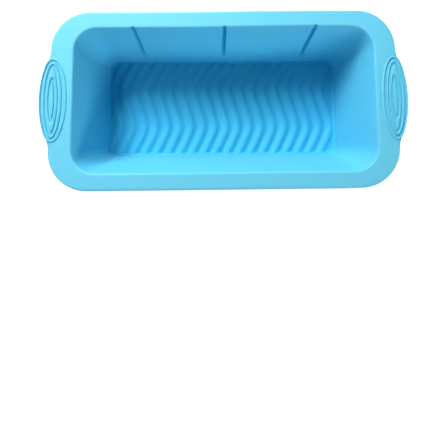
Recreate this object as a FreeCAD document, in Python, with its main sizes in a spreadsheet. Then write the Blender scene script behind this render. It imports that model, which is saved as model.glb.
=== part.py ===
import FreeCAD, Part
import math
import os
import Sketcher

# Silicone loaf mould for soap: a soft tray with a wavy floor, drafted walls, a wide flange
# with an ear at each end and a ringed finger pad on each ear.
# Frame: X along the length, Y across, Z up. The origin is the middle of the underside.
# The moulding is drawn as its natural features, each a solid, which meet face to face.

SIZES = (
    # whole mould
    ("mould_height", 65.0),
    ("wall_side", 2.0),
    # cavity, between the floor outline and the opening at the rim
    ("opening_length", 220.5),
    ("opening_width", 105.5),
    ("opening_corner", 17.0),
    ("floor_length", 200.0),
    ("floor_width", 82.5),
    ("floor_corner", 7.5),
    ("floor_level", 2.0),
    # corrugated floor: a sheet of even thickness, pressed into waves
    ("wave_rise", 1.5),
    ("wave_pitch", 10.4),
    ("groove_mouth", 5.8),
    ("groove_roof", 2.6),
    ("crest_foot", 7.2),
    ("crest_top", 4.0),
    # each wave follows a rounded S: its two bends, and where it runs out past the walls
    ("bend_radius", 21.0),
    ("bend_centre_x", 16.6),
    ("bend_centre_y", 17.0),
    ("wave_end_x", 6.2),
    ("wave_end_y", 44.0),
    # flange, with an ear at each end
    ("flange_length", 253.2),
    ("flange_width", 129.8),
    ("flange_corner", 28.0),
    ("flange_thick", 2.2),
    ("flange_round", 2.0),
    ("ear_reach", 7.0),
    ("ear_radius", 80.0),
    ("bead_width", 5.0),
    ("bead_height", 1.2),
    # finger pad on each ear
    ("pad_centre", 124.2),
    ("pad_length", 60.6),
    ("pad_width", 20.6),
    ("pad_seat", 0.8),
    ("pad_rise", 0.9),
    ("ring_gap", 1.2),
    ("ring_depth", 0.9),
    # upright ribs on the long walls, and the grooves behind the far wall's
    ("rib_spacing", 67.5),
    ("rib_width", 3.0),
    ("rib_depth", 0.9),
    ("rib_end_level", 15.0),
    ("rib_fade", 12.0),
    # where the straight walls end and the corner pieces begin
    ("split_length", 186.0),
    ("split_width", 70.0),
)

WAVES_EACH_SIDE = 9
# The grooves between the rings of a finger pad: half length and half width of each loop.
RING_LOOPS = ((12.9, 1.6), (23.3, 4.3), (27.8, 7.5))

X_AXIS = FreeCAD.Vector(1, 0, 0)
Z_AXIS = FreeCAD.Vector(0, 0, 1)
UPRIGHT_YZ = FreeCAD.Rotation(FreeCAD.Vector(1, 1, 1), 120)

SHEET_TOP = "Sizes.floor_level + Sizes.wave_rise"
FLANGE_LEVEL = "Sizes.mould_height - Sizes.flange_thick"

doc = FreeCAD.newDocument("soap_mould")
sheet = doc.addObject("Spreadsheet::Sheet", "Sizes")
for row, (alias, value) in enumerate(SIZES, start=1):
    sheet.set(f"A{row}", alias)
    sheet.set(f"B{row}", str(value))
    sheet.setAlias(f"B{row}", alias)
doc.recompute()


def number(expression):
    """The present value of an expression in the sheet's names."""
    return float(sheet.evalExpression(expression))


def bind(item, **expressions):
    """Ties properties of an object to the sheet; two underscores stand for a dot."""
    for name, expression in expressions.items():
        item.setExpression(name.replace("__", "."), expression)


# ---------------------------------------------------------------- sketches

def new_sketch(name, level="0", rotation=None):
    sketch = doc.addObject("Sketcher::SketchObject", name)
    if rotation is not None:
        sketch.Placement = FreeCAD.Placement(FreeCAD.Vector(), rotation)
    bind(sketch, Placement__Base__z=level)
    return sketch


def constrain(sketch, kind, *where, size=None):
    """Adds one constraint; a size is an expression that the constraint follows."""
    if size is None:
        sketch.addConstraint(Sketcher.Constraint(kind, *where))
        return
    index = sketch.addConstraint(Sketcher.Constraint(kind, *where, number(size)))
    sketch.setExpression(f"Constraints[{index}]", size)


def arc(centre_x, centre_y, radius, start, end):
    circle = Part.Circle(FreeCAD.Vector(centre_x, centre_y, 0), Z_AXIS, radius)
    return Part.ArcOfCircle(circle, start, end)


def join_smoothly(sketch, chain):
    """Joins curves tangentially in a closed chain of (curve, first end, last end)."""
    for here, following in zip(chain, chain[1:] + chain[:1]):
        constrain(sketch, "Tangent", here[0], here[2], following[0], following[1])


def place_arc(sketch, curve, centre_x, centre_y, radius):
    """Holds an arc's centre and radius."""
    constrain(sketch, "DistanceX", curve, 3, size=centre_x)
    constrain(sketch, "DistanceY", curve, 3, size=centre_y)
    constrain(sketch, "Radius", curve, size=radius)


def rounded_rectangle(name, length, width, corner, level):
    """A level rectangle with round corners, centred over the origin."""
    sketch = new_sketch(name, level)
    right_angle = math.pi / 2
    radius = number(corner)
    inner_x = number(length) / 2 - radius
    inner_y = number(width) / 2 - radius
    signs = ((1, 1), (-1, 1), (-1, -1), (1, -1))
    chain = []
    for turn, (sign_x, sign_y) in enumerate(signs):
        start = turn * right_angle
        bend = arc(sign_x * inner_x, sign_y * inner_y, radius, start, start + right_angle)
        bend_index = sketch.addGeometry(bend)
        next_x, next_y = signs[(turn + 1) % 4]
        out_x, out_y = ((0, 1), (-1, 0), (0, -1), (1, 0))[turn]
        side = Part.LineSegment(
            FreeCAD.Vector(sign_x * inner_x + out_x * radius, sign_y * inner_y + out_y * radius),
            FreeCAD.Vector(next_x * inner_x + out_x * radius, next_y * inner_y + out_y * radius),
        )
        side_index = sketch.addGeometry(side)
        chain += [(bend_index, 1, 2), (side_index, 1, 2)]
    join_smoothly(sketch, chain)
    for turn, (sign_x, sign_y) in enumerate(signs):
        place_arc(
            sketch,
            chain[2 * turn][0],
            f"{sign_x} * ({length} - 2 * {corner}) / 2",
            f"{sign_y} * ({width} - 2 * {corner}) / 2",
            corner,
        )
    return sketch


def draw_polygon(sketch, points):
    """A closed polygon whose corners are pairs of expressions."""
    corners = [FreeCAD.Vector(number(across), number(up), 0) for across, up in points]
    following = corners[1:] + corners[:1]
    sketch.addGeometry([Part.LineSegment(*ends) for ends in zip(corners, following)])
    count = len(points)
    joints = [("Coincident", side, 2, (side + 1) % count, 1) for side in range(count)]
    places = []
    for side, (across, up) in enumerate(points):
        places += [("DistanceX", side, 1, across), ("DistanceY", side, 1, up)]
    sketch.addConstraint([Sketcher.Constraint(*joint) for joint in joints])
    indices = sketch.addConstraint(
        [Sketcher.Constraint(*place[:3], number(place[3])) for place in places]
    )
    for index, place in zip(indices, places):
        sketch.setExpression(f"Constraints[{index}]", place[3])


# ---------------------------------------------------------------- solids

def extrude(name, base, height, direction=Z_AXIS, centred=False):
    solid = doc.addObject("Part::Extrusion", name)
    solid.Base = base
    solid.DirMode = "Custom"
    solid.Dir = direction
    solid.Solid = True
    solid.Symmetric = centred
    bind(solid, LengthFwd=height)
    return solid


def loft(name, low, high):
    solid = doc.addObject("Part::Loft", name)
    solid.Sections = [low, high]
    solid.Solid = True
    solid.Ruled = True
    return solid


def cut(name, base, tool):
    solid = doc.addObject("Part::Cut", name)
    solid.Base = base
    solid.Tool = tool
    return solid


def common(name, base, tool):
    solid = doc.addObject("Part::Common", name)
    solid.Base = base
    solid.Tool = tool
    return solid


def fuse(name, solids):
    solid = doc.addObject("Part::MultiFuse", name)
    solid.Shapes = solids
    return solid


def box(name, low, size):
    """A box from its low corner and its size, each three expressions."""
    solid = doc.addObject("Part::Box", name)
    bind(
        solid,
        Placement__Base__x=low[0],
        Placement__Base__y=low[1],
        Placement__Base__z=low[2],
        Length=size[0],
        Width=size[1],
        Height=size[2],
    )
    return solid


# ---------------------------------------------------------------- cavity and walls

def cavity_half_width(level):
    """How far the inner face of a long wall stands from the middle at a level."""
    slope = (
        "(Sizes.opening_width - Sizes.floor_width) / 2"
        " / (Sizes.mould_height - Sizes.floor_level)"
    )
    return f"(Sizes.floor_width / 2 + ({level} - Sizes.floor_level) * {slope})"


def skin_outline(name, length, width, corner, level):
    """The outer face of the walls, one wall outside the cavity."""
    return rounded_rectangle(
        name,
        f"({length} + 2 * Sizes.wall_side)",
        f"({width} + 2 * Sizes.wall_side)",
        f"({corner} + Sizes.wall_side)",
        level,
    )


def make_cavity():
    low = rounded_rectangle(
        "cavity_floor", "Sizes.floor_length", "Sizes.floor_width",
        "Sizes.floor_corner", "Sizes.floor_level",
    )
    high = rounded_rectangle(
        "cavity_opening", "Sizes.opening_length", "Sizes.opening_width",
        "Sizes.opening_corner", "Sizes.mould_height",
    )
    return loft("cavity", low, high)


def make_skin():
    """The outer block, its draft carried on down to the underside."""
    share = "Sizes.floor_level / (Sizes.mould_height - Sizes.floor_level)"
    low = skin_outline(
        "skin_underside",
        f"(Sizes.floor_length - (Sizes.opening_length - Sizes.floor_length) * {share})",
        f"(Sizes.floor_width - (Sizes.opening_width - Sizes.floor_width) * {share})",
        f"(Sizes.floor_corner - (Sizes.opening_corner - Sizes.floor_corner) * {share})",
        "0",
    )
    high = skin_outline(
        "skin_opening", "Sizes.opening_length", "Sizes.opening_width",
        "Sizes.opening_corner", "Sizes.mould_height",
    )
    return loft("skin", low, high)


def wall_sector(name, shell, low_x, low_y, size_x, size_y):
    """One stretch of the wall, between the floor sheet and the flange."""
    region = box(
        f"{name}_region",
        (low_x, low_y, SHEET_TOP),
        (size_x, size_y, f"{FLANGE_LEVEL} - ({SHEET_TOP})"),
    )
    return common(name, shell, region)


def rib_profile(name, side, face, position):
    """The side view of one rib or groove, standing out from a wall face and fading low."""
    fade_level = "(Sizes.rib_end_level + Sizes.rib_fade)"
    top = f"({FLANGE_LEVEL})"
    points = (
        (f"{side} * ({face('Sizes.rib_end_level')})", "Sizes.rib_end_level"),
        (f"{side} * ({face(fade_level)} + Sizes.rib_depth)", fade_level),
        (f"{side} * ({face(top)} + Sizes.rib_depth)", top),
        (f"{side} * ({face(top)})", top),
    )
    sketch = new_sketch(name, rotation=UPRIGHT_YZ)
    draw_polygon(sketch, points)
    bind(sketch, Placement__Base__x=f"{position} * Sizes.rib_spacing")
    return sketch


def rib_set(name, side, face):
    """Three upright bars, at the middle of a long wall and each side of it."""
    bars = []
    for position in (-1, 0, 1):
        label = f"{name}_{position + 2}"
        profile = rib_profile(f"{label}_profile", side, face, position)
        bars.append(extrude(label, profile, "Sizes.rib_width", X_AXIS, centred=True))
    return fuse(name, bars)


def skin_half_width(level):
    return f"({cavity_half_width(level)} + Sizes.wall_side)"


def make_walls(cavity, skin):
    shell = cut("wall_shell", skin, cavity)
    half_x = "Sizes.split_length / 2"
    half_y = "Sizes.split_width / 2"
    span_x = "Sizes.split_length"
    span_y = "Sizes.split_width"
    end_x = "(Sizes.flange_length - Sizes.split_length) / 2"
    end_y = "(Sizes.flange_width - Sizes.split_width) / 2"
    left_x = "-Sizes.flange_length / 2"
    near_y = "-Sizes.flange_width / 2"
    walls = []
    for name, side, low_y in (("front", -1, near_y), ("back", 1, half_y)):
        if side > 0:
            plain = wall_sector("back_wall_plain", shell, f"-{half_x}", low_y, span_x, end_y)
            grooves = rib_set("back_wall_grooves", side, cavity_half_width)
            walls.append(cut("back_wall", plain, grooves))
        else:
            walls.append(
                wall_sector("front_wall", shell, f"-{half_x}", low_y, span_x, end_y)
            )
        walls.append(rib_set(f"{name}_wall_ribs", side, skin_half_width))
        for hand, low_x in (("left", left_x), ("right", half_x)):
            corner = f"{name}_{hand}_corner"
            walls.append(wall_sector(corner, shell, low_x, low_y, end_x, end_y))
    for hand, low_x in (("left", left_x), ("right", half_x)):
        walls.append(wall_sector(f"{hand}_wall", shell, low_x, f"-{half_y}", end_x, span_y))
    return shell, walls


# ---------------------------------------------------------------- corrugated floor

def attach(sketch, body, role, offset):
    """Lays a body's sketch on one of its origin planes, moved along the plane's normal."""
    plane = next(item for item in body.Origin.OriginFeatures if item.Role == role)
    sketch.AttachmentSupport = [(plane, "")]
    sketch.MapMode = "FlatFace"
    bind(sketch, AttachmentOffset__Base__z=offset)


def wave_section(body):
    """The section of the floor sheet along the mould: crests over grooves, evenly spaced."""
    sketch = body.newObject("Sketcher::SketchObject", "wave_section")
    attach(sketch, body, "XZ_Plane", "Sizes.wave_end_y")
    end = "(Sizes.floor_length / 2 + 4 * Sizes.wall_side)"
    under = [(f"-{end}", "0")]
    over = [(f"-{end}", "Sizes.floor_level")]
    for wave in range(-WAVES_EACH_SIDE, WAVES_EACH_SIDE + 1):
        middle = f"{wave} * Sizes.wave_pitch"
        under += [
            (f"{middle} - Sizes.groove_mouth / 2", "0"),
            (f"{middle} - Sizes.groove_roof / 2", "Sizes.wave_rise"),
            (f"{middle} + Sizes.groove_roof / 2", "Sizes.wave_rise"),
            (f"{middle} + Sizes.groove_mouth / 2", "0"),
        ]
        over += [
            (f"{middle} - Sizes.crest_foot / 2", "Sizes.floor_level"),
            (f"{middle} - Sizes.crest_top / 2", SHEET_TOP),
            (f"{middle} + Sizes.crest_top / 2", SHEET_TOP),
            (f"{middle} + Sizes.crest_foot / 2", "Sizes.floor_level"),
        ]
    under.append((end, "0"))
    over.append((end, "Sizes.floor_level"))
    draw_polygon(sketch, under + over[::-1])
    return sketch


def wave_path(body):
    """The line that each wave follows across the floor: a rounded S, the same both ways."""
    sketch = body.newObject("Sketcher::SketchObject", "wave_path")
    attach(sketch, body, "XY_Plane", "0")
    radius = number("Sizes.bend_radius")
    centre = FreeCAD.Vector(number("Sizes.bend_centre_x"), number("Sizes.bend_centre_y"), 0)
    end = FreeCAD.Vector(number("Sizes.wave_end_x"), number("Sizes.wave_end_y"), 0)
    inner = tangent_point(centre, radius, FreeCAD.Vector(), -1)
    outer = tangent_point(centre, radius, end, 1)
    start_angle = math.atan2(outer.y - centre.y, outer.x - centre.x)
    end_angle = math.atan2(inner.y - centre.y, inner.x - centre.x)
    turn = math.pi
    sketch.addGeometry(Part.LineSegment(-end, -outer))
    sketch.addGeometry(arc(-centre.x, -centre.y, radius, start_angle + turn, end_angle + turn))
    sketch.addGeometry(Part.LineSegment(-inner, inner))
    sketch.addGeometry(arc(centre.x, centre.y, radius, start_angle, end_angle))
    sketch.addGeometry(Part.LineSegment(outer, end))
    constrain(sketch, "Tangent", 0, 2, 1, 1)
    constrain(sketch, "Tangent", 1, 2, 2, 1)
    constrain(sketch, "Tangent", 2, 2, 3, 2)
    constrain(sketch, "Tangent", 3, 1, 4, 1)
    for curve, sign in ((1, "-1"), (3, "1")):
        place_arc(
            sketch,
            curve,
            f"{sign} * Sizes.bend_centre_x",
            f"{sign} * Sizes.bend_centre_y",
            "Sizes.bend_radius",
        )
    for line, point, sign in ((0, 1, "-1"), (4, 2, "1")):
        constrain(sketch, "DistanceX", line, point, size=f"{sign} * Sizes.wave_end_x")
        constrain(sketch, "DistanceY", line, point, size=f"{sign} * Sizes.wave_end_y")
    return sketch


def tangent_point(centre, radius, point, hand):
    """Where a line from a point touches a circle, on the chosen hand."""
    gap = point - centre
    distance = math.hypot(gap.x, gap.y)
    angle = math.atan2(gap.y, gap.x) + hand * math.acos(radius / distance)
    return centre + FreeCAD.Vector(math.cos(angle), math.sin(angle), 0) * radius


def make_base(shell, skin):
    """The corrugated floor sheet with a level kerb round it, on which the walls stand."""
    body = doc.addObject("PartDesign::Body", "floor_sheet")
    section = wave_section(body)
    path = wave_path(body)
    doc.recompute()
    pipe = body.newObject("PartDesign::AdditivePipe", "floor_sweep")
    pipe.Profile = section
    pipe.Spine = (path, [f"Edge{edge + 1}" for edge in range(len(path.Shape.Edges))])
    pipe.Mode = "Fixed"
    pipe.Transition = "Right corner"
    doc.recompute()
    waves = common("floor_waves", skin, body)
    kerb_region = box(
        "kerb_region",
        ("-Sizes.flange_length / 2", "-Sizes.flange_width / 2", "Sizes.floor_level"),
        ("Sizes.flange_length", "Sizes.flange_width", "Sizes.wave_rise"),
    )
    kerb = common("kerb", shell, kerb_region)
    return fuse("corrugated_base", [waves, kerb])


# ---------------------------------------------------------------- flange

def flange_outline():
    """The flange's edge: round corners run through a hollow curve into each end's ear."""
    sketch = new_sketch("flange_outline", FLANGE_LEVEL)
    corner = number("Sizes.flange_corner")
    half_x = number("Sizes.flange_length") / 2
    half_y = number("Sizes.flange_width") / 2
    ear = number("Sizes.ear_radius")
    ear_x = half_x + number("Sizes.ear_reach") - ear
    inner_x = half_x - corner
    inner_y = half_y - corner
    # the hollow curve starts where the corner ends and touches the ear's curve
    rest = half_x - ear_x
    hollow = (rest**2 + inner_y**2 - ear**2) / (2 * (ear - rest))
    hollow_x = half_x + hollow
    swing = math.atan2(inner_y, hollow_x - ear_x)
    quarter = math.pi / 2
    half_turn = math.pi
    curves = (
        (arc(ear_x, 0, ear, -swing, swing), 1, 2),
        (arc(hollow_x, inner_y, hollow, half_turn, half_turn + swing), 2, 1),
        (arc(inner_x, inner_y, corner, 0, quarter), 1, 2),
        (level_line(inner_x, half_y), 1, 2),
        (arc(-inner_x, inner_y, corner, quarter, half_turn), 1, 2),
        (arc(-hollow_x, inner_y, hollow, -swing, 0), 2, 1),
        (arc(-ear_x, 0, ear, half_turn - swing, half_turn + swing), 1, 2),
        (arc(-hollow_x, -inner_y, hollow, 0, swing), 2, 1),
        (arc(-inner_x, -inner_y, corner, half_turn, 3 * quarter), 1, 2),
        (level_line(-inner_x, -half_y), 1, 2),
        (arc(inner_x, -inner_y, corner, -quarter, 0), 1, 2),
        (arc(hollow_x, -inner_y, hollow, half_turn - swing, half_turn), 2, 1),
    )
    chain = [(sketch.addGeometry(curve), first, last) for curve, first, last in curves]
    join_smoothly(sketch, chain)
    inset_x = "(Sizes.flange_length / 2 - Sizes.flange_corner)"
    inset_y = "(Sizes.flange_width / 2 - Sizes.flange_corner)"
    ear_place = "(Sizes.flange_length / 2 + Sizes.ear_reach - Sizes.ear_radius)"
    corners = ((2, 1, 1), (4, -1, 1), (8, -1, -1), (10, 1, -1))
    for curve, sign_x, sign_y in corners:
        place_arc(
            sketch, curve, f"{sign_x} * {inset_x}", f"{sign_y} * {inset_y}",
            "Sizes.flange_corner",
        )
    for curve, sign_x in ((0, 1), (6, -1)):
        place_arc(sketch, curve, f"{sign_x} * {ear_place}", "0", "Sizes.ear_radius")
    for hollow_curve, end, corner_curve in ((1, 1, 2), (5, 2, 4), (7, 1, 8), (11, 2, 10)):
        constrain(sketch, "Horizontal", hollow_curve, end, corner_curve, 3)
    return sketch


def level_line(reach_x, level_y):
    """A straight side of the flange, run from one corner to the other."""
    return Part.LineSegment(
        FreeCAD.Vector(reach_x, level_y, 0), FreeCAD.Vector(-reach_x, level_y, 0)
    )


def ellipse(name, side, half_length, half_width, level):
    """A level ellipse over a finger pad's middle, its long way across the mould."""
    curve = doc.addObject("Part::Ellipse", name)
    curve.Placement.Rotation = FreeCAD.Rotation(Z_AXIS, 90)
    bind(
        curve,
        Placement__Base__x=f"{side} * Sizes.pad_centre",
        Placement__Base__z=level,
        MajorRadius=half_length,
        MinorRadius=half_width,
    )
    return curve


def pad_blank(name, side):
    base = ellipse(
        f"{name}_edge", side, "Sizes.pad_length / 2", "Sizes.pad_width / 2",
        "Sizes.mould_height - Sizes.pad_seat",
    )
    return extrude(f"{name}_blank", base, "Sizes.pad_seat + Sizes.pad_rise")


def make_pad(name, side, blank, ear_prism):
    """A raised oval with three narrow grooves that leave rings round a middle island."""
    groove_floor = "Sizes.mould_height + Sizes.pad_rise - Sizes.ring_depth"
    grooves = []
    for loop, (half_length, half_width) in enumerate(RING_LOOPS, start=1):
        discs = []
        for edge, sign in (("outer", "+"), ("inner", "-")):
            curve = ellipse(
                f"{name}_loop_{loop}_{edge}", side,
                f"{half_length} {sign} Sizes.ring_gap / 2",
                f"{half_width} {sign} Sizes.ring_gap / 2",
                groove_floor,
            )
            discs.append(
                extrude(f"{name}_loop_{loop}_{edge}_disc", curve, "2 * Sizes.ring_depth")
            )
        grooves.append(cut(f"{name}_groove_{loop}", *discs))
    trimmed = common(f"{name}_trimmed", blank, ear_prism)
    return cut(name, trimmed, fuse(f"{name}_grooves", grooves))


def round_edges(name, base, edges, radius):
    """Rounds the edges that a test picks out."""
    solid = doc.addObject("Part::Fillet", name)
    solid.Base = base
    size = number(radius)
    solid.Edges = [(index + 1, size, size) for index in edges]
    return solid


def make_flange(cavity, outline, blanks):
    prism = extrude("flange_prism", outline, "Sizes.flange_thick")
    frame = cut("flange_frame", prism, cavity)
    doc.recompute()
    rim = number("Sizes.mould_height")
    reach_x = number("Sizes.opening_length") / 2
    reach_y = number("Sizes.opening_width") / 2
    lip = []
    for index, edge in enumerate(frame.Shape.Edges):
        limits = edge.BoundBox
        inside = max(abs(limits.XMin), abs(limits.XMax)) <= reach_x + 0.01
        inside = inside and max(abs(limits.YMin), abs(limits.YMax)) <= reach_y + 0.01
        if inside and limits.ZMin > rim - 0.01:
            lip.append(index)
    rounded = round_edges("flange_rounded", frame, lip, "Sizes.flange_round")
    return cut("rim_flange", rounded, fuse("pad_seats", blanks))


def make_bead(outline):
    """The thicker lip along the outer edge of the flange's underside."""
    inner = doc.addObject("Part::Offset2D", "bead_inner_outline")
    inner.Source = outline
    inner.Join = "Intersection"
    bind(inner, Value="-Sizes.bead_width")
    down = FreeCAD.Vector(0, 0, -1)
    outer_prism = extrude("bead_outer", outline, "Sizes.bead_height", down)
    inner_prism = extrude("bead_inner", inner, "2 * Sizes.bead_height", down)
    return cut("rim_bead", outer_prism, inner_prism)


# ---------------------------------------------------------------- the mould

cavity = make_cavity()
skin = make_skin()
shell, walls = make_walls(cavity, skin)
base = make_base(shell, skin)
outline = flange_outline()
ear_prism = extrude("ear_prism", outline, "2 * Sizes.flange_thick")
hands = (("left_handle_pad", -1), ("right_handle_pad", 1))
blanks = [pad_blank(name, side) for name, side in hands]
flange = make_flange(cavity, outline, blanks)
bead = make_bead(outline)
pads = [
    make_pad(name, side, blank, ear_prism)
    for (name, side), blank in zip(hands, blanks)
]
doc.recompute()

for item in doc.Objects:
    if "Invalid" in item.State or "Error" in item.State:
        raise RuntimeError(f"{item.Label} failed: {item.State}")

nodes = [base] + walls + [flange, bead] + pads
for node in nodes:
    if node.Shape.isNull() or not node.Shape.isValid():
        raise RuntimeError(f"{node.Label} has no valid shape")

os.makedirs("parts", exist_ok=True)
for node in nodes:
    node.Shape.exportStep(f"parts/{node.Label}.step")
    limits = node.Shape.BoundBox
    print(
        f"{node.Label}: {len(node.Shape.Solids)} solid(s), {node.Shape.Volume:.0f} mm3,"
        f" {limits.XLength:.1f} x {limits.YLength:.1f} x {limits.ZLength:.1f} mm"
    )
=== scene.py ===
import math

import bpy
import numpy as np
from mathutils import Matrix, Vector


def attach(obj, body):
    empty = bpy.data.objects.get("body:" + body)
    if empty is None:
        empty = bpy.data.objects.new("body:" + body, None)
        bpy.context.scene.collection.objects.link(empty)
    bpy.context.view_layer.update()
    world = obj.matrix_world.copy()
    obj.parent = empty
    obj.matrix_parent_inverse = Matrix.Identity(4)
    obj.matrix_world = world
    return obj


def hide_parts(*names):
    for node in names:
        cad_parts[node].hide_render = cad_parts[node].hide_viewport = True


# Silicone loaf mould for soap, open side up: X along the mould, Y across it, Z up, with the origin
# in the middle of the underside. Shapes are worked out in millimetres and turned to metres when
# their meshes are made. Materials, lights and the camera are in metres.

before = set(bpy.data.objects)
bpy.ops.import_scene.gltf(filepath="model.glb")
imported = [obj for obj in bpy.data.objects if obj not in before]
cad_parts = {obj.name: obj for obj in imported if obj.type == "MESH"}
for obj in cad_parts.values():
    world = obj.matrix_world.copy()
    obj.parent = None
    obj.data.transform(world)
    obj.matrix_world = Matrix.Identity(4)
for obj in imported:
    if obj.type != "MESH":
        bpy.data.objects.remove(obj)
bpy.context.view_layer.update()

MM = 0.001
TINY = 1e-9

# ---------------------------------------------------------------- sizes

# cavity: half length, half width and corner radius at the floor and at the opening
HEIGHT = 65.0
FLOOR = 2.0
FLOOR_SIZE = (99.3, 41.25, 7.5)
OPENING_SIZE = (110.25, 52.75, 17.0)
OPENING_ROUND = 1.3
WALL_LEVELS = (8.0, 12.0, 15.0, 16.5, 18.0, 19.5, 21.0, 28.0, 38.0, 48.0, 56.0, 59.0, 61.5)

# rounded step round the waves and narrow ledge at the walls' foot: how far outwards of the floor's
# edge each ring stands, and its rise, which up to 1 is a share of the step and then millimetres
LEDGE_LIFT = 0.1
FOOT_PROFILE = (
    (-2.6, 0.0), (-1.8, 0.0), (-1.35, 0.05), (-1.0, 0.2), (-0.7, 0.5), (-0.45, 0.82),
    (-0.15, 1.0), (0.2, 1.15), (0.5, 1.6), (0.62, 2.5),
)

# waves of the floor: each face's height, offset along the mould and narrowness of its crests
PITCH = 10.4
WAVES_EACH_SIDE = 9
LAST_WAVE_WIDTH = 0.38
LAST_WAVE_FADE = 0.12
INSIDE_WAVES = (1.75, -1.6, 0.9)
UNDERSIDE_WAVES = (1.5, 0.0, 1.45)

# line of a wave across the floor: its slope in the middle, and its bend back near the long walls
MIDDLE_SLOPE = -0.33
BEND_SLOPE = 0.84
BEND_PLACE = 18.0
BEND_SOFTNESS = 3.0

# outside of the walls and of the base
WALL = 2.0
OUTER_LEVELS = (54.0, 44.0, 34.0, 27.0, 24.0, 21.0, 18.0, 15.0, 11.0, 7.0, 4.6)
FLANGE_FILLET = 2.2
BASE_ROUND = 2.6
BASE_EASE = 0.8

# flange with its ears, and the lip under its edge
FLANGE_SIZE = (126.6, 64.9, 28.0)
FLANGE_SHARES = (0.12, 0.3, 0.5, 0.7, 0.88, 1.0)
EAR_REACH = 7.0
EAR_RADIUS = 80.0
FLANGE_THICK = 2.2
LIP_WIDTH = 5.0
LIP_DEPTH = 1.2
EDGE_ROUND = 1.5
PARTING_LINE = 0.12

# upright ribs outside the long walls, and the grooves behind them inside the far wall
RIB_PLACES = (-67.5, 0.0, 67.5)
RIB_END = 15.0
RIB_HALF_WIDTH = 1.5
RIB_DEPTH = 1.2
RIB_FADE = 12.0
GROOVE_HALF_WIDTH = 1.25
GROOVE_DEPTH = 2.6
GROOVE_FADE = 6.0
GROOVE_EASE = 0.7
GROOVE_EASE_START = 57.0
GROOVE_EASE_LENGTH = 7.0
RIB_SQUARENESS = 6
RIB_STEEPNESS = 0.7

# finger pads: oval border, and ring grooves as half length, half width and power of the oval
PAD_CENTRE = 124.2
PAD_HALF_LENGTH = 30.3
PAD_HALF_WIDTH = 10.3
PAD_RISE = 1.15
PAD_SINK = 0.9
PAD_BORDER = 0.95
PAD_EAR_GAP = 0.45
PAD_EAR_DROP = 0.5
RINGS = ((14.2, 2.0, 1.5), (24.4, 4.6, 1.6), (28.0, 7.5, 2.0))
RING_HALF_GAP = 0.82
RING_SQUARENESS = 2.6
RING_STEEPNESS = 0.8
RING_DEPTH = 1.6
# painted shade in the pads' ring grooves, and on the part of a pad that drops over the ear's edge
RING_PAINTED_SHADE = 0.8
EAR_PAINTED_SHADE = 0.9

# unevenness of the soft rim, which grows with height: a ripple and a bow (depth, then length and
# start of their swing), and the droop of the edges, with the share of the rim where it starts
SETTLE_START = 20.0
SETTLE_HEIGHT = 45.0
SETTLE_POWER = 1.5
RIPPLE, RIPPLE_X, RIPPLE_Y = 0.35, (47.0, 0.6), (31.0, 1.1)
BOW, BOW_X = 0.25, (71.0, -0.4)
EDGE_DROOP, EDGE_START = 0.45, 0.8
RIM_REACH = (126.0, 64.5)

# droop of the right end, drift of the far right side and pull of the near right side: where each
# starts and over what length it grows
RIGHT_DROOP, RIGHT_DROOP_X = 0.9, (104.0, 30.0)
DRIFT_X, DRIFT_Y = (-40.0, 100.0), (-40.0, 80.0)
PULL, PULL_X, PULL_Y = (-0.7, 0.8), (80.0, 40.0), (25.0, 35.0)

# how finely the skin is drawn
FIXED_X = 84.0
FIXED_Y = 28.0
CORNER_COLUMNS = 20
CORNER_ROWS = 13
ROWS_TO_FIXED_Y = 20
FINE_STEP = 0.38
COARSE_STEP = 0.72
FINE_REACH = 2.4
LOOK_AHEAD = 0.2
LAST_STEP = 0.4
OPENING_STEPS = 8
FILLET_STEPS = 7
BASE_STEPS = 9
UNDER_SHARES = (0.35, 0.7)
EDGE_TOP_SHARES = (0.2, 0.4, 0.6, 0.8, 1.0)
EDGE_LOW_SHARES = (0.0, 0.25, 0.5, 0.75, 1.0)
ARC_MIDDLE = 90
DIP_POINTS = 60
EAR_POINTS = 120
PAD_SPOKES = 220
PAD_SHARES = np.concatenate([np.linspace(0.0, 0.965, 84), [0.978, 0.988, 0.995, 1.0]])


def smooth_step(share):
    share = np.clip(share, 0.0, 1.0)
    return share * share * (3 - 2 * share)


def bezier(start, corner, end, share):
    return (1 - share) ** 2 * start + 2 * share * (1 - share) * corner + share**2 * end


# ---------------------------------------------------------------- outlines

def column_places():
    """Distances from the middle at which the columns of the skin stand, closer at the ribs."""
    places = [0.0]
    while places[-1] < FIXED_X - LAST_STEP:
        nearest = min(abs(places[-1] + LOOK_AHEAD - rib) for rib in RIB_PLACES)
        places.append(places[-1] + (FINE_STEP if nearest < FINE_REACH else COARSE_STEP))
    places[-1] = FIXED_X
    return np.array(places)


COLUMNS = column_places()
ROWS = np.linspace(0.0, FIXED_Y, ROWS_TO_FIXED_Y + 1)
ALL_COLUMNS = 2 * (len(COLUMNS) - 1 + CORNER_COLUMNS)
ALL_ROWS = 2 * (len(ROWS) - 1 + CORNER_ROWS)


def quarter_bend(centre_x, centre_y, reach):
    """A quarter of a circle, from straight across the mould to straight along it."""
    turn = np.linspace(0.0, math.pi / 2, 2 * ARC_MIDDLE + 1)
    return np.stack([centre_x + reach * np.sin(turn), centre_y + reach * np.cos(turn)], 1)


def rounded(half_x, half_y, corner):
    """A quarter of a rounded rectangle, in the two halves that meet at the corner's middle."""
    bend = quarter_bend(half_x - corner, half_y - corner, corner)
    along = np.vstack([[0.0, half_y], bend[: ARC_MIDDLE + 1]])
    across = np.vstack([bend[ARC_MIDDLE:], [half_x, 0.0]])
    return along, across


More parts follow.
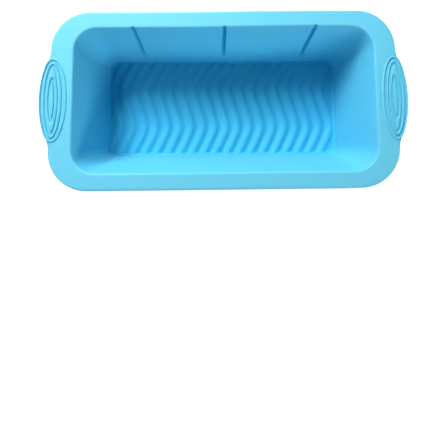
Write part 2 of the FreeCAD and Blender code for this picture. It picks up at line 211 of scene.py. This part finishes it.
def flange_quarter(inset):
    """A quarter of the flange's outline with its ear, moved inwards by an inset."""
    half_x, half_y, corner = FLANGE_SIZE
    inner_x, inner_y = half_x - corner, half_y - corner
    bend = quarter_bend(inner_x, inner_y, corner - inset)
    # the ear's large arc runs into the corner through a hollow arc that touches both
    ear_x = half_x + EAR_REACH - EAR_RADIUS
    rest = half_x - ear_x
    hollow = (rest**2 + inner_y**2 - EAR_RADIUS**2) / (2 * (EAR_RADIUS - rest))
    hollow_x = half_x + hollow
    sweep = math.atan2(inner_y, hollow_x - ear_x)
    dip_turn = np.linspace(0.0, sweep, DIP_POINTS)[1:]
    dip = np.stack([
        hollow_x - (hollow + inset) * np.cos(dip_turn),
        inner_y - (hollow + inset) * np.sin(dip_turn),
    ], 1)
    ear_turn = np.linspace(sweep, 0.0, EAR_POINTS)[1:]
    ear = np.stack([
        ear_x + (EAR_RADIUS - inset) * np.cos(ear_turn),
        (EAR_RADIUS - inset) * np.sin(ear_turn),
    ], 1)
    along = np.vstack([[0.0, half_y - inset], bend[: ARC_MIDDLE + 1]])
    across = np.vstack([bend[ARC_MIDDLE:], dip, ear])
    return along, across


def lengths_along(points):
    """The length along a polyline at each of its points."""
    steps = np.hypot(*np.diff(points, axis=0).T)
    return np.concatenate([[0.0], np.cumsum(steps)])


def spread(points, start, count):
    """Points spaced evenly along a polyline, from a length along it to its end."""
    length = lengths_along(points)
    wanted = np.linspace(start, length[-1], count + 1)[1:]
    return np.stack([np.interp(wanted, length, points[:, axis]) for axis in (0, 1)], 1)


def length_at(points, axis, value):
    """The length along a polyline at which one of its coordinates has a value."""
    order = np.argsort(points[:, axis])
    return float(np.interp(value, points[order, axis], lengths_along(points)[order]))


def quarter_samples(along, across):
    """Samples from the middle of the long side, and of the short side, to the corner."""
    fixed = np.stack([COLUMNS, np.interp(COLUMNS, along[:, 0], along[:, 1])], 1)
    side_bend = spread(along, length_at(along, 0, FIXED_X), CORNER_COLUMNS)
    back = across[::-1]
    low = np.stack([np.interp(ROWS, back[:, 1], back[:, 0]), ROWS], 1)
    end_bend = spread(back, length_at(back, 1, FIXED_Y), CORNER_ROWS)
    return np.vstack([fixed, side_bend]), np.vstack([low, end_bend])


def loop(along, across):
    """The closed loop of a ring, counter-clockwise from the near left corner's middle."""
    side, end = quarter_samples(along, across)
    mirror_x, mirror_y = np.array([-1.0, 1.0]), np.array([1.0, -1.0])
    near = np.vstack([(side * -1.0)[::-1], (side * mirror_y)[1:]])
    right = np.vstack([(end * mirror_y)[::-1], end[1:]])
    far = np.vstack([side[::-1], (side * mirror_x)[1:]])
    left = np.vstack([(end * mirror_x)[::-1], (end * -1.0)[1:]])
    return np.vstack([near[:-1], right[:-1], far[:-1], left[:-1]])


def cavity_loop(level, outwards):
    """The cavity's outline at a level, moved outwards."""
    share = (level - FLOOR) / (HEIGHT - FLOOR)
    half_x, half_y, corner = (
        low + share * (high - low) for low, high in zip(FLOOR_SIZE, OPENING_SIZE)
    )
    return loop(*rounded(half_x + outwards, half_y + outwards, corner + outwards))


# ---------------------------------------------------------------- relief

def wave_shift(y):
    """How far a wave's centre line stands aside at a distance across the mould."""
    reach = np.abs(y)
    full_bend = BEND_SLOPE * BEND_SOFTNESS
    bend = full_bend * np.log1p(np.exp((reach - BEND_PLACE) / BEND_SOFTNESS))
    start = full_bend * math.log1p(math.exp(-BEND_PLACE / BEND_SOFTNESS))
    return np.sign(y) * (MIDDLE_SLOPE * reach + bend - start)


def waves(x, y, face):
    """Height of the waves at points of a face of the floor."""
    rise, offset, narrowness = face
    place = (x - offset - wave_shift(y)) / PITCH
    swell = (0.5 + 0.5 * np.cos(2 * math.pi * place)) ** narrowness
    past_last = np.abs(place) - WAVES_EACH_SIDE - LAST_WAVE_WIDTH
    return rise * (swell * (1.0 - np.clip(past_last / LAST_WAVE_FADE, 0.0, 1.0)))


def rib_relief(points, level, half_width, fade_length):
    """Share of the ribs' depth, 0 to 1, at a ring's points; it fades out over the base."""
    relief = np.zeros(len(points))
    for place in RIB_PLACES:
        gap = np.abs(points[:, 0] - place) / half_width
        relief += np.exp(-(gap**RIB_SQUARENESS) * RIB_STEEPNESS)
    return relief * smooth_step((level - RIB_END) / fade_length)


def swing(place, length_and_start):
    """The angle of a swing at a place along it."""
    length, start = length_and_start
    return place / length + start


def growth(place, start_and_length):
    """How far something has grown at a place, 0 to 1."""
    start, length = start_and_length
    return smooth_step((place - start) / length)


def settle(points):
    """Soft silicone's slight unevenness, full at the rim and none at the base."""
    x, y, z = points[:, :3].T
    share = np.clip((z - SETTLE_START) / SETTLE_HEIGHT, 0.0, 1.0) ** SETTLE_POWER
    ripple = RIPPLE * np.sin(swing(x, RIPPLE_X)) * np.sin(swing(y, RIPPLE_Y))
    bow = BOW * np.cos(swing(x, BOW_X))
    reach = np.hypot(x / RIM_REACH[0], y / RIM_REACH[1])
    edge_droop = EDGE_DROOP * np.clip(reach - EDGE_START, 0.0, None)
    rise = ripple + bow - (edge_droop + RIGHT_DROOP * growth(x, RIGHT_DROOP_X))
    drift = growth(x, DRIFT_X) * growth(y, DRIFT_Y)
    pull = growth(x, PULL_X) * growth(-y, PULL_Y)
    move_x, move_y = PULL[0] * pull, drift + PULL[1] * pull
    moves = [move_x * share, move_y * share, rise * share, np.zeros(len(x))]
    return points + np.stack(moves, 1)


# ---------------------------------------------------------------- the skin

def ring(points, level, painted_shade=0.0):
    """A ring of the skin: its outline, its level or levels, and how much painted shade darkens it.
    """
    columns = [np.broadcast_to(np.asarray(v, float), (len(points),)) for v in (level, painted_shade)]
    return np.column_stack([points] + columns)


def pushed(points, amount):
    """A ring with its long sides pushed outwards across the mould."""
    return points + np.column_stack([np.zeros(len(points)), np.sign(points[:, 1]) * amount])


def grooved(points, level, fade=1.0):
    """A ring of the inner faces, cut back by the far wall's grooves, shallow near the rim, with
    the grooves' share kept as painted shade.
    """
    share = rib_relief(points, level, GROOVE_HALF_WIDTH, GROOVE_FADE) * (points[:, 1] > 0) * fade
    ease = smooth_step((level - GROOVE_EASE_START) / GROOVE_EASE_LENGTH)
    return ring(pushed(points, share * (GROOVE_DEPTH * (1 - GROOVE_EASE * ease))), level, share)


def ribbed(points, level, fade=1.0):
    """A ring of the outer faces, pushed out by the ribs of the long walls."""
    share = rib_relief(points, level, RIB_HALF_WIDTH, RIB_FADE)
    return ring(pushed(points, share * RIB_DEPTH * fade), level)


def inside_rings():
    """From the floor's edge up the cavity's walls and over the flange to its outer edge."""
    rings = []
    ledge = FLOOR + INSIDE_WAVES[0] + LEDGE_LIFT
    for outwards, lift in FOOT_PROFILE:
        points = cavity_loop(FLOOR, outwards)
        crest = FLOOR + waves(points[:, 0], points[:, 1], INSIDE_WAVES)
        level = crest + (ledge - crest) * min(lift, 1.0) + max(lift - 1.0, 0.0)
        rings.append(ring(points, level))
    for level in WALL_LEVELS:
        rings.append(grooved(cavity_loop(level, 0.0), level))
    for share in np.linspace(0.0, 1.0, OPENING_STEPS):
        level = bezier(HEIGHT - OPENING_ROUND, HEIGHT, HEIGHT, share)
        outwards = bezier(0.0, 0.0, OPENING_ROUND, share)
        rings.append(grooved(cavity_loop(min(level, HEIGHT), outwards), level, 1 - share**2))
    opening = cavity_loop(HEIGHT, OPENING_ROUND)
    edge = loop(*flange_quarter(EDGE_ROUND))
    for share in FLANGE_SHARES:
        rings.append(ring(opening + (edge - opening) * share, HEIGHT))
    return rings


def edge_rings():
    """Round the flange's outer edge and over the lip on its underside."""
    rings = []
    for share in EDGE_TOP_SHARES:
        turn = share * math.pi / 2
        points = loop(*flange_quarter(EDGE_ROUND * (1 - math.sin(turn))))
        rings.append(ring(points, HEIGHT - EDGE_ROUND * (1 - math.cos(turn))))
    low = HEIGHT - FLANGE_THICK - LIP_DEPTH
    rings.append(ring(loop(*flange_quarter(-PARTING_LINE)), (HEIGHT + low) / 2))
    for share in EDGE_LOW_SHARES:
        turn = share * math.pi / 2
        points = loop(*flange_quarter(EDGE_ROUND * (1 - math.cos(turn))))
        rings.append(ring(points, low + EDGE_ROUND * (1 - math.sin(turn))))
    return rings


def underside_rings():
    """From the lip in to the walls, down their outer faces and round the base's edge."""
    rings = []
    low = HEIGHT - FLANGE_THICK - LIP_DEPTH
    under = HEIGHT - FLANGE_THICK
    # the lip's flat underside, its rounded inner edge and the hollow where it meets the flange
    for inset, level in (
        (2.4, low), (LIP_WIDTH - 0.7, low), (LIP_WIDTH - 0.2, low + 0.15),
        (LIP_WIDTH, low + 0.6), (LIP_WIDTH + 0.2, under - 0.15), (LIP_WIDTH + 0.7, under),
    ):
        rings.append(ring(loop(*flange_quarter(inset)), level))
    lip = rings[-1][:, :2]
    face = cavity_loop(under, WALL + FLANGE_FILLET)
    for share in UNDER_SHARES:
        rings.append(ring(lip + (face - lip) * share, under))
    for share in np.linspace(0.0, 1.0, FILLET_STEPS):
        level = bezier(under, under, under - FLANGE_FILLET, share)
        points = cavity_loop(level, bezier(WALL + FLANGE_FILLET, WALL, WALL, share))
        rings.append(ribbed(points, level, share))
    for level in OUTER_LEVELS:
        rings.append(ribbed(cavity_loop(level, WALL), level))
    for share in np.linspace(0.0, 1.0, BASE_STEPS):
        level = bezier(BASE_ROUND, 0.0, 0.0, share)
        points = cavity_loop(level, bezier(WALL, WALL, WALL - BASE_ROUND, share))
        groove = waves(points[:, 0], points[:, 1], UNDERSIDE_WAVES)
        rings.append(ring(points, level + groove * share**BASE_EASE))
    return rings


def grid_between(boundary):
    """Fills a closed ring with a grid whose lines follow its sides."""
    near = boundary[: ALL_COLUMNS + 1]
    right = boundary[ALL_COLUMNS : ALL_COLUMNS + ALL_ROWS + 1]
    far = boundary[ALL_COLUMNS + ALL_ROWS : 2 * ALL_COLUMNS + ALL_ROWS + 1][::-1]
    left = np.vstack([boundary[2 * ALL_COLUMNS + ALL_ROWS :], boundary[:1]])[::-1]
    u = ((near[:, 0] + far[:, 0]) / 2 - near[0, 0]) / (near[-1, 0] - near[0, 0])
    v = ((left[:, 1] + right[:, 1]) / 2 - left[0, 1]) / (left[-1, 1] - left[0, 1])
    u, v = u[:, None, None], v[None, :, None]
    sides = (1 - v) * near[:, None] + v * far[:, None] + (1 - u) * left[None] + u * right[None]
    corners = (1 - u) * (1 - v) * near[0] + u * (1 - v) * near[-1]
    corners = corners + (1 - u) * v * far[0] + u * v * far[-1]
    return sides - corners


def fill(boundary, first_edge, first_new, face, level, flip):
    """The floor within a ring: its points, and the faces that join them to the ring's points."""
    inner = grid_between(boundary[:, :2])[1:-1, 1:-1].reshape(-1, 2)
    points = ring(inner, level + waves(inner[:, 0], inner[:, 1], face))
    index = np.zeros((ALL_COLUMNS + 1, ALL_ROWS + 1), int)
    new = first_new + np.arange(len(inner))
    index[1:-1, 1:-1] = new.reshape(ALL_COLUMNS - 1, ALL_ROWS - 1)
    edge = first_edge + np.arange(len(boundary))
    index[:, 0] = edge[: ALL_COLUMNS + 1]
    index[-1, :] = edge[ALL_COLUMNS : ALL_COLUMNS + ALL_ROWS + 1]
    index[:, -1] = edge[ALL_COLUMNS + ALL_ROWS : 2 * ALL_COLUMNS + ALL_ROWS + 1][::-1]
    index[0, :] = np.append(edge[2 * ALL_COLUMNS + ALL_ROWS :], edge[0])[::-1]
    faces = []
    for i in range(ALL_COLUMNS):
        for j in range(ALL_ROWS):
            quad = (index[i, j], index[i + 1, j], index[i + 1, j + 1], index[i, j + 1])
            faces.append(quad[::-1] if flip else quad)
    return points, faces


def band(count, around):
    """Faces between rings that follow each other, each with the same number of points."""
    faces = []
    for index in range(count):
        low, high = index * around, (index + 1) * around
        for step in range(around):
            following = (step + 1) % around
            faces.append((low + step, high + step, high + following, low + following))
    return faces


def make_skin():
    """One closed skin: floor, walls, flange and lip, with its faces outwards."""
    rings = inside_rings() + edge_rings() + underside_rings()
    around = len(rings[0])
    last = len(rings) - 1
    faces = band(last, around)
    first_new = len(rings) * around
    over, over_faces = fill(rings[0], 0, first_new, INSIDE_WAVES, FLOOR, False)
    first_new += len(over)
    under, under_faces = fill(rings[-1], last * around, first_new, UNDERSIDE_WAVES, 0.0, True)
    return settle(np.vstack(rings + [over, under])), faces + over_faces + under_faces


def add_mesh(name, vertices, faces):
    """An object from rows of X, Y, Z and painted shade, with the painted shade kept on its points.
    """
    mesh = bpy.data.meshes.new(name)
    mesh.from_pydata((vertices[:, :3] * MM).tolist(), [], [tuple(map(int, f)) for f in faces])
    mesh.validate()
    painted_shade = mesh.attributes.new("painted_shade", "FLOAT", "POINT")
    painted_shade.data.foreach_set("value", vertices[:, 3].astype(np.float32))
    mesh.shade_smooth()
    mesh.update()
    item = bpy.data.objects.new(name, mesh)
    bpy.context.scene.collection.objects.link(item)
    return item


# ---------------------------------------------------------------- finger pads

def ear_edge(y):
    """How far the flange's outer edge stands from the middle at points across an ear."""
    _, across = flange_quarter(0.0)
    back = across[::-1]
    return np.interp(np.abs(y), back[:, 1], back[:, 0])


def pad_surface(x, y):
    """Height of a pad's top over the flange, and the share of the ring grooves in it."""
    gap = np.full(np.shape(x), np.inf)
    for half_length, half_width, power in RINGS:
        across, along = np.abs(x) / half_width + TINY, np.abs(y) / half_length
        reach = across**power + along**2
        slope_x, slope_y = power * across ** (power - 1) / half_width, 2 * along / half_length
        gap = np.minimum(gap, np.abs(reach - 1.0) / (np.hypot(slope_x, slope_y) + TINY))
    groove = np.exp(-((gap / RING_HALF_GAP) ** RING_SQUARENESS) * RING_STEEPNESS)
    return PAD_RISE - RING_DEPTH * groove, groove


def make_pad(side):
    """A raised oval with rings, cut back to the ear's edge on its outer side."""
    turn = np.linspace(0.0, 2 * math.pi, PAD_SPOKES, endpoint=False)
    rings = []
    for share in PAD_SHARES:
        x = share * PAD_HALF_WIDTH * np.cos(turn)
        y = share * PAD_HALF_LENGTH * np.sin(turn)
        height, groove = pad_surface(x, y)
        border = np.clip((share - PAD_BORDER) / (1 - PAD_BORDER), 0.0, 1.0)
        height = height - PAD_SINK * (1 - np.sqrt(np.clip(1 - border**2, 0.0, 1.0)))
        limit = ear_edge(y) - PAD_EAR_GAP
        over = np.clip(PAD_CENTRE + x - limit, 0.0, None)
        height = height - PAD_EAR_DROP * np.clip(over, 0.0, 1.0) ** 2
        out = np.minimum(PAD_CENTRE + x, limit + PAD_EAR_GAP * np.tanh(over))
        # painted shade darkens the ring grooves and the part of the pad that drops over the ear's
        # edge
        painted_shade = RING_PAINTED_SHADE * np.maximum(groove, np.clip(over * EAR_PAINTED_SHADE, 0.0, 1.0))
        rings.append(np.column_stack([side * out, y, HEIGHT + height, painted_shade]))
    skirt = rings[-1].copy()
    skirt[:, 2] = HEIGHT - PAD_SINK
    rings.append(skirt)
    last = len(PAD_SHARES)
    faces = band(last, PAD_SPOKES)
    bottom = tuple(range(last * PAD_SPOKES, (last + 1) * PAD_SPOKES))
    if side > 0:
        faces.append(bottom[::-1])
    else:
        faces = [quad[::-1] for quad in faces] + [bottom]
    return settle(np.vstack(rings)), faces


# ---------------------------------------------------------------- silicone

TINTS = ((0.3, (0.052, 0.500, 0.770, 1)), (0.7, (0.058, 0.530, 0.800, 1)))
TINT_SCALE, TINT_DETAIL = 28.0, 3.0
# painted sheen: a pale tone mixed in by height, none on the floor, some on the walls and most on
# the rim
PAINTED_SHEEN_TONE = (0.19, 0.58, 0.72, 1)
PAINTED_SHEEN_TOP = 0.066
PAINTED_SHEEN_STEPS = ((0.05, 0.0), (0.12, 0.36), (0.93, 0.42), (0.98, 0.60))
# painted shade: the darker tone laid into grooves, where little light reaches
PAINTED_SHADE_TONE = (0.026, 0.33, 0.56, 1)
SATIN = (0.46, 0.58)
GRAIN_SCALE, GRAIN_DETAIL = 1600.0, 2.0
GRAIN_STRENGTH = 0.12
GRAIN_HEIGHT = 0.0001
SEE_THROUGH = 0.35
SEE_THROUGH_REACH = (0.4, 0.8, 1.0)
SEE_THROUGH_DEPTH = 0.0012
SILICONE_IOR = 1.41
SILICONE_GLOSS = 0.3

# colour sockets of a mix node, which shares their names with its other kinds
MIX_SHARE, MIX_BASE, MIX_TONE, MIX_RESULT = 0, 6, 7, 2


def make_silicone():
    """Pale blue silicone: soft, slightly see-through at thin edges, with a satin skin, a painted
    sheen towards the rim and painted shade in the grooves.
    """
    material = bpy.data.materials.new("silicone_blue")
    material.use_nodes = True
    nodes, links = material.node_tree.nodes, material.node_tree.links
    shader = nodes["Principled BSDF"]
    shader.inputs["Subsurface Weight"].default_value = SEE_THROUGH
    shader.inputs["Subsurface Radius"].default_value = SEE_THROUGH_REACH
    shader.inputs["Subsurface Scale"].default_value = SEE_THROUGH_DEPTH
    shader.inputs["IOR"].default_value = SILICONE_IOR
    shader.inputs["Specular IOR Level"].default_value = SILICONE_GLOSS
    place = nodes.new("ShaderNodeTexCoord")

    def noise(scale, detail):
        node = nodes.new("ShaderNodeTexNoise")
        node.inputs["Scale"].default_value = scale
        node.inputs["Detail"].default_value = detail
        links.new(place.outputs["Object"], node.inputs["Vector"])
        return node.outputs["Fac"]

    def ramp(stops, share):
        node = nodes.new("ShaderNodeValToRGB")
        for _ in stops[2:]:
            node.color_ramp.elements.new(0.5)
        for element, (position, colour) in zip(node.color_ramp.elements, stops):
            element.position = position
            element.color = colour
        links.new(share, node.inputs["Fac"])
        return node.outputs["Color"]

    def mixed(share, base, tone):
        node = nodes.new("ShaderNodeMix")
        node.data_type = "RGBA"
        node.inputs[MIX_TONE].default_value = tone
        links.new(share, node.inputs[MIX_SHARE])
        links.new(base, node.inputs[MIX_BASE])
        return node.outputs[MIX_RESULT]

    # faint patches of tint
    cloud = noise(TINT_SCALE, TINT_DETAIL)
    tint = ramp(TINTS, cloud)
    # a pale painted sheen on the walls, stronger on the rim and absent from the floor
    split = nodes.new("ShaderNodeSeparateXYZ")
    links.new(place.outputs["Object"], split.inputs["Vector"])
    height = nodes.new("ShaderNodeMapRange")
    height.inputs["From Max"].default_value = PAINTED_SHEEN_TOP
    links.new(split.outputs["Z"], height.inputs["Value"])
    stops = [(position, (grey, grey, grey, 1)) for position, grey in PAINTED_SHEEN_STEPS]
    with_painted_sheen = mixed(ramp(stops, height.outputs["Result"]), tint, PAINTED_SHEEN_TONE)
    # painted shade down in the narrow grooves and on the pads' edges over the ears
    painted_shade_attribute = nodes.new("ShaderNodeAttribute")
    painted_shade_attribute.attribute_name = "painted_shade"
    links.new(mixed(painted_shade_attribute.outputs["Fac"], with_painted_sheen, PAINTED_SHADE_TONE), shader.inputs["Base Color"])
    # a satin skin, a little smoother in places, with a fine grain
    satin = nodes.new("ShaderNodeMapRange")
    satin.inputs["To Min"].default_value, satin.inputs["To Max"].default_value = SATIN
    links.new(cloud, satin.inputs["Value"])
    links.new(satin.outputs["Result"], shader.inputs["Roughness"])
    bump = nodes.new("ShaderNodeBump")
    bump.inputs["Strength"].default_value = GRAIN_STRENGTH
    bump.inputs["Distance"].default_value = GRAIN_HEIGHT
    links.new(noise(GRAIN_SCALE, GRAIN_DETAIL), bump.inputs["Height"])
    links.new(bump.outputs["Normal"], shader.inputs["Normal"])
    return material


silicone = make_silicone()
skin = add_mesh("mould_skin", *make_skin())
skin.data.materials.append(silicone)
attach(skin, "root")
pad_nodes = ("left_handle_pad", "right_handle_pad")
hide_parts(*[node for node in sorted(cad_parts) if node not in pad_nodes])
for name, node, side in (
    ("left_finger_pad", "left_handle_pad", -1),
    ("right_finger_pad", "right_handle_pad", 1),
):
    pad = add_mesh(name, *make_pad(side))
    pad.data.materials.append(silicone)
    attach(pad, "root")
    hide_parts(node)


# ---------------------------------------------------------------- studio

GROUND_RADIUS = 3.0
GROUND_SIDES = 64
GROUND_DROP = 0.0003
GROUND_GREY = (0.32, 0.32, 0.32, 1)
GROUND_ROUGHNESS = 0.9
GROUND_GLOSS = 0.1
GROUND_GLOW = 0.9
WHITE = (1, 1, 1, 1)

# each light: name, azimuth from +X and elevation in degrees, distance and size in metres, watts
LIGHTS = (
    ("window", 124.0, 41.5, 0.75, (0.24, 0.26), 6.0),
    ("window_side", 97.0, 31.0, 0.60, (0.34, 0.28), 2.1),
    ("right_fill", 314.0, 20.0, 1.0, (0.50, 0.25), 2.6),
    ("left_fill", 240.0, 20.0, 1.0, (0.50, 0.25), 0.5),
    ("front_fill", 290.0, 26.0, 1.0, (0.50, 0.25), 2.5),
    ("left_top", 150.0, 60.0, 1.0, (0.30, 0.30), 0.9),
)

# surrounding light, from the horizon up, and the rise over which it fades
HORIZON_LIGHT = 0.5
ZENITH_LIGHT = 0.02
FADE_START = 0.05
FADE_END = 0.35

# camera: lens and sensor in millimetres, shift, place in metres and turns in radians
LENS = 28.52
SENSOR = 36.0
SHIFT = (0.0078, -0.2459)
CLIP = (0.01, 20.0)
CAMERA_PLACE = (-0.00879, -0.0326, 0.31862)
CAMERA_TURNS = ((0.009, "Z"), (-0.086, "X"), (0.019, "Y"))


def make_ground():
    """A pale round floor that glows faintly, a hair under the mould."""
    turns = np.linspace(0, 2 * math.pi, GROUND_SIDES + 1)[:-1]
    rim = [(GROUND_RADIUS * math.cos(turn), GROUND_RADIUS * math.sin(turn), 0.0) for turn in turns]
    mesh = bpy.data.meshes.new("floor")
    mesh.from_pydata(rim, [], [tuple(range(GROUND_SIDES))])
    ground = bpy.data.objects.new("floor", mesh)
    ground.location.z = -GROUND_DROP
    bpy.context.scene.collection.objects.link(ground)
    material = bpy.data.materials.new("pale_floor")
    material.use_nodes = True
    shader = material.node_tree.nodes["Principled BSDF"]
    shader.inputs["Base Color"].default_value = GROUND_GREY
    shader.inputs["Roughness"].default_value = GROUND_ROUGHNESS
    shader.inputs["Specular IOR Level"].default_value = GROUND_GLOSS
    shader.inputs["Emission Color"].default_value = WHITE
    shader.inputs["Emission Strength"].default_value = GROUND_GLOW
    mesh.materials.append(material)


def make_surroundings():
    """Soft light from all round, brightest at the horizon."""
    world = bpy.data.worlds.new("studio")
    world.use_nodes = True
    nodes, links = world.node_tree.nodes, world.node_tree.links
    place = nodes.new("ShaderNodeTexCoord")
    split = nodes.new("ShaderNodeSeparateXYZ")
    links.new(place.outputs["Generated"], split.inputs["Vector"])
    fall = nodes.new("ShaderNodeMapRange")
    fall.interpolation_type = "SMOOTHSTEP"
    fall.inputs["From Min"].default_value = FADE_START
    fall.inputs["From Max"].default_value = FADE_END
    fall.inputs["To Min"].default_value = HORIZON_LIGHT
    fall.inputs["To Max"].default_value = ZENITH_LIGHT
    links.new(split.outputs["Z"], fall.inputs["Value"])
    nodes["Background"].inputs["Color"].default_value = WHITE
    links.new(fall.outputs["Result"], nodes["Background"].inputs["Strength"])
    bpy.context.scene.world = world


def make_lights():
    """Soft rectangular lights that all face the middle of the rim."""
    middle = Vector((0.0, 0.0, HEIGHT * MM))
    for name, azimuth, elevation, distance, size, power in LIGHTS:
        turn, rise = math.radians(azimuth), math.radians(elevation)
        flat = math.cos(rise)
        away = Vector((math.cos(turn) * flat, math.sin(turn) * flat, math.sin(rise)))
        place = middle + away * distance
        light = bpy.data.lights.new(name, "AREA")
        light.shape = "RECTANGLE"
        light.size, light.size_y = size
        light.energy = power
        item = bpy.data.objects.new(name, light)
        item.location = place
        item.rotation_euler = (middle - place).to_track_quat("-Z", "Y").to_euler()
        bpy.context.scene.collection.objects.link(item)


def make_camera():
    """A wide view from nearly overhead, with the mould in the upper half of the frame."""
    camera = bpy.data.cameras.new("camera")
    camera.sensor_width = SENSOR
    camera.lens = LENS
    camera.shift_x, camera.shift_y = SHIFT
    camera.clip_start, camera.clip_end = CLIP
    item = bpy.data.objects.new("camera", camera)
    first, second, third = (Matrix.Rotation(angle, 3, axis) for angle, axis in CAMERA_TURNS)
    turned = first @ second @ third
    item.matrix_world = Matrix.Translation(CAMERA_PLACE) @ turned.transposed().to_4x4()
    bpy.context.scene.collection.objects.link(item)
    bpy.context.scene.camera = item


make_ground()
make_surroundings()
make_lights()
make_camera()
bpy.context.scene.view_settings.view_transform = "Standard"
